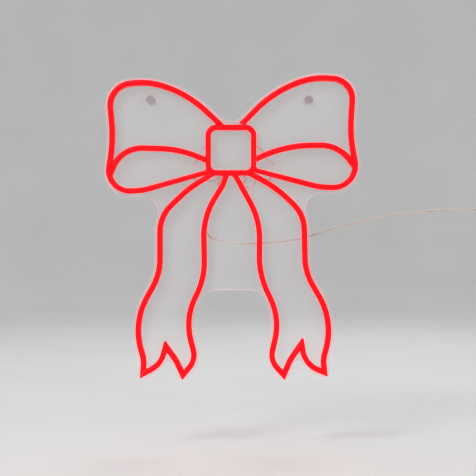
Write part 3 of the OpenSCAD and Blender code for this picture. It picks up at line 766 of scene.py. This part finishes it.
def crossing(a, b, corners):
    """Where the line from a to b first meets a row of corners, if it does."""
    way = b - a
    nearest = None
    for c, d in zip(corners, corners[1:]):
        edge = d - c
        cross = way.x * edge.y - way.y * edge.x
        if abs(cross) < PARALLEL:
            continue
        gap = c - a
        along = (gap.x * edge.y - gap.y * edge.x) / cross
        share = (gap.x * way.y - gap.y * way.x) / cross
        if -MATCH < share < 1 + MATCH and -MATCH < along <= 1:
            nearest = along if nearest is None else min(nearest, along)
    return None if nearest is None else a + way * nearest


def cut_off(line, corners):
    """A line of places, run straight on and then cut off at a row of corners."""
    line = line + [line[-1] + (line[-1] - line[-2]).normalized() * RUN_ON]
    for i in range(len(line) - 1):
        hit = crossing(line[i], line[i + 1], corners)
        if hit:
            return line[:i + 1] + [hit] * (len(line) - i - 1)
    return line[:-1] + line[-2:-1]


def tube_shell(bm, course, points, cuts):
    """The rows of a shell swept along a course, each row a loop of vertices."""
    lines = []
    for sideways, forward in points:
        line = [place + Vector((way.y, -way.x)) * sideways for place, way in course]
        if cuts:
            near, far = cuts
            line = cut_off(line, far)
            line = cut_off(line[::-1], near)[::-1]
        lines.append([bm.verts.new((p.x, tube_back - forward, p.y)) for p in line])
    return [list(row) for row in zip(*lines)]


def tube_mesh(course, cuts=None):
    """A domed tube with its channel. Without cuts it is a closed ring."""
    outer, inner, lit = tube_section()
    bm = bmesh.new()
    shells = [tube_shell(bm, course, points, cuts) for points in (outer, inner)]
    for rows in shells:
        faces = skin(bm, rows, closed_ends=not cuts, material=SIDE)
        if rows is shells[0]:
            for i, face in enumerate(faces):
                if i % len(outer) in lit:
                    face.material_index = LIT
    if cuts:
        for end in (0, -1):
            skin(bm, [shells[0][end], shells[1][end]], material=SIDE)
    bmesh.ops.remove_doubles(bm, verts=bm.verts[:], dist=TUBE_WELD)
    bmesh.ops.dissolve_degenerate(bm, edges=bm.edges[:], dist=TUBE_WELD)
    return bm


def ring_course():
    """The knot's middle line: a square with round corners."""
    low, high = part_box("knot_tube")
    centre = Vector(((low.x + high.x) / 2, (low.z + high.z) / 2))
    reach = (high.x - low.x - TUBE_WIDTH) / 2 - KNOT_CORNER
    made = []
    steps = math.ceil(math.pi / 2 / MAX_TURN)
    for quarter in range(4):
        mid_angle = math.pi / 4 + quarter * math.pi / 2
        corner = centre + reach * math.sqrt(2) * Vector((math.cos(mid_angle), math.sin(mid_angle)))
        for k in range(steps + 1):
            angle = (quarter + k / steps) * math.pi / 2
            out = Vector((math.cos(angle), math.sin(angle)))
            made.append((corner + KNOT_CORNER * out, Vector((-out.y, out.x))))
    return made


def make_tube(node_name):
    """A lit tube that stands for its flat-fronted CAD node."""
    if node_name == "knot_tube":
        bm = tube_mesh(ring_course())
    else:
        course, near, far = tube_course(node_name)
        bm = tube_mesh(finer(course), (near, far))
    made = mesh_piece(node_name.replace("_tube", "_light"), bm, [lit_front, lit_side], 50)
    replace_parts(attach(made, "sign"), node_name)
    return made


def open_tubes():
    """The nodes of the tubes with two ends: all but the knot's ring."""
    return [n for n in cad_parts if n.endswith("_tube") and n != "knot_tube"]


def off_line(middle, end):
    """How badly a place fits the line on from a tube's end, mostly sideways."""
    place, way = end
    ahead = (middle - place).dot(way)
    aside = (middle - place - way * ahead).length
    return aside + 0.1 * ahead if ahead > 0 else RUN_ON


def end_caps():
    """The caps where tubes stop at the knot, with the tubes' own domed section."""
    ends = []
    for node_name in open_tubes():
        course = tube_course(node_name)[0]
        ends += [(course[0][0], -course[0][1]), course[-1]]
    bm = bmesh.new()
    for loop in front_outlines("tube_end_caps"):
        middle = sum(loop, Vector((0, 0))) / len(loop)
        place, way = min(ends, key=lambda end: off_line(middle, end))
        outline = loop + loop[:1]
        rows = [[], []]
        for sideways, forward in tube_section()[0]:
            start = place + Vector((way.y, -way.x)) * sideways * CAP_SHARE
            finish = start + way * RUN_ON
            hits = [crossing(start, finish, outline), crossing(finish, start, outline)]
            if all(hits):
                for row, hit in zip(rows, hits):
                    row.append(bm.verts.new((hit.x, tube_back - forward, hit.y)))
        skin(bm, rows)
        for row in rows:
            bm.faces.new(row)
    made = mesh_piece("end_caps", bm, [lit_cap], 50)
    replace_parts(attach(made, "sign"), "tube_end_caps")
    return made


for name in ["knot_tube", *open_tubes()]:
    make_tube(name)
end_caps()

# ---- Plate ----

RIM_ROUND = 0.5 * MM
HOLE_ROUND = 0.2 * MM
RIM_STEPS = 3
SHORTEST_EDGE = 0.05 * MM
FACE, RIM = 0, 1  # the plate's material slots


def inset(loop, distance):
    """A loop moved to its left, which is inwards on a loop that runs anticlockwise."""
    made = []
    for i, place in enumerate(loop):
        before = (place - loop[i - 1]).normalized()
        after = (loop[(i + 1) % len(loop)] - place).normalized()
        left = Vector((-before.y - after.y, before.x + after.x)).normalized()
        shorter = max(left.dot(Vector((-before.y, before.x))), LEAST_COSINE)
        made.append(place + left * distance / shorter)
    return made


def without_short_edges(loop, shortest):
    """A loop without the corners that lie too close to the one before."""
    made = [loop[0]]
    for place in loop[1:]:
        if (place - made[-1]).length > shortest:
            made.append(place)
    return made


def plate_piece():
    """The clear plate, with a rounded rim and rounded holes."""
    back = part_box("backing_plate")[1].y
    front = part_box("backing_plate")[0].y
    bm = bmesh.new()
    edges = {front: [], back: []}
    for number, loop in enumerate(front_outlines("backing_plate")):
        loop = without_short_edges(loop, SHORTEST_EDGE)
        outside = number == 0
        if (turned_area(loop) > 0) != outside:
            loop.reverse()
        size = RIM_ROUND if outside else HOLE_ROUND
        levels = []
        for k in range(RIM_STEPS + 1):
            angle = math.pi / 2 * k / RIM_STEPS
            levels.append((size * (1 - math.sin(angle)), size * (1 - math.cos(angle))))
        course = [(d, front + y) for d, y in levels]
        course += [(d, back - y) for d, y in reversed(levels)]
        rows = []
        for distance, y in course:
            rows.append([bm.verts.new((p.x, y, p.y)) for p in inset(loop, distance)])
        # The rim and the holes' walls take the rim material, with its painted red glow.
        skin(bm, rows, material=RIM)
        for y, row in ((front, rows[0]), (back, rows[-1])):
            edges[y] += [bm.edges.get((a, b)) for a, b in zip(row, row[1:] + row[:1])]
    for rim in edges.values():
        filled = bmesh.ops.triangle_fill(bm, use_beauty=True, edges=rim)
        for face in filled["geom"]:
            if isinstance(face, bmesh.types.BMFace):
                face.material_index = FACE
    made = mesh_piece("clear_plate", bm, [plate_face, plate_rim_painted_glow], 35)
    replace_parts(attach(made, "sign"), "backing_plate")
    return made


plate_piece()

# ---- CAD nodes that stay: each one's material and how round its edges are, in mm ----

KEPT = {
    "led_chips": (led_chip, 0.15),
    "jumper_wires": (wire_skin, 0.35),
    "hook_base": (hook_plastic, 0.6),
    "hook_pad": (pad_foam, 0.15),
    "switch_shell_back": (switch_plastic, 0.5),
    "switch_shell_front": (switch_plastic, 0.5),
    "switch_rocker": (rocker_plastic, 0.35),
    "rocker_pin": (pin_steel, 0.1),
    "switch_contacts": (brass, 0.1),
}


def finish_of(node_name):
    """A node's material and rounding, or nothing if a piece stands for it."""
    if node_name in KEPT:
        return KEPT[node_name]
    if node_name.endswith("_led_strip"):
        return strip_board, 0.1
    if "washer" in node_name:
        return soft_washer, 0.15
    if "standoff" in node_name:
        return fixing_metal, 0.15
    return None


for name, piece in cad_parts.items():
    finish = finish_of(name)
    if finish and not piece.hide_render:
        material, rounding = finish
        piece.data.materials.clear()
        piece.data.materials.append(material)
        round_edges(piece, rounding * MM)

# ---- Studio ----

PAPER = (0.74, 0.74, 0.74)
FLOOR_DROP = 0.10
FLOOR_RADIUS = 3.0
BOWL_RADIUS = 2.2
WALL_TOP = 5.0
BOWL_STEPS = 16


def studio_paper():
    """Pale paper: a round floor that curves up into a wall all the way round."""
    made, tree, shader = new_material("studio_paper")
    tint(tree, shader, noise(tree, 3), tuple(0.96 * c for c in PAPER), PAPER)
    bump(tree, shader, noise(tree, 900, 2), 0.05 * MM)
    shader.inputs["Roughness"].default_value = 0.9
    base = Vector((VIEW_CENTRE[0], 0, cad_box[0].z - FLOOR_DROP))
    profile = [(0, 0), (FLOOR_RADIUS, 0)]
    for k in range(1, BOWL_STEPS + 1):
        angle = math.pi / 2 * k / BOWL_STEPS
        profile.append((FLOOR_RADIUS + BOWL_RADIUS * math.sin(angle),
                        BOWL_RADIUS * (1 - math.cos(angle))))
    profile.append((FLOOR_RADIUS + BOWL_RADIUS, WALL_TOP))
    lathe("studio_paper", profile, base, (0, 0, 1), [made], sides=96)


def area_light(name, place, target, size, power):
    """A round soft light of a size in metres and a power in watts."""
    data = bpy.data.lights.new(name, "AREA")
    data.shape = "DISK"
    data.size = size
    data.energy = power
    light = bpy.data.objects.new(name, data)
    light.location = place
    light.rotation_euler = (Vector(target) - Vector(place)).to_track_quat("-Z", "Y").to_euler()
    scene.collection.objects.link(light)


def studio_lights():
    middle = (cad_box[0] + cad_box[1]) / 2
    area_light("key", (-1.4, -1.9, 1.5), middle, 0.9, 34)
    area_light("fill", (1.9, -1.6, 0.5), middle, 1.6, 10)
    area_light("back", (0.6, 1.8, 1.6), middle, 1.2, 14)
    world = bpy.data.worlds.new("studio")
    world.use_nodes = True
    backdrop = world.node_tree.nodes["Background"]
    backdrop.inputs["Color"].default_value = (1, 1, 1, 1)
    backdrop.inputs["Strength"].default_value = 0.75
    scene.world = world
    scene.view_settings.view_transform = "Standard"


studio_paper()
studio_lights()
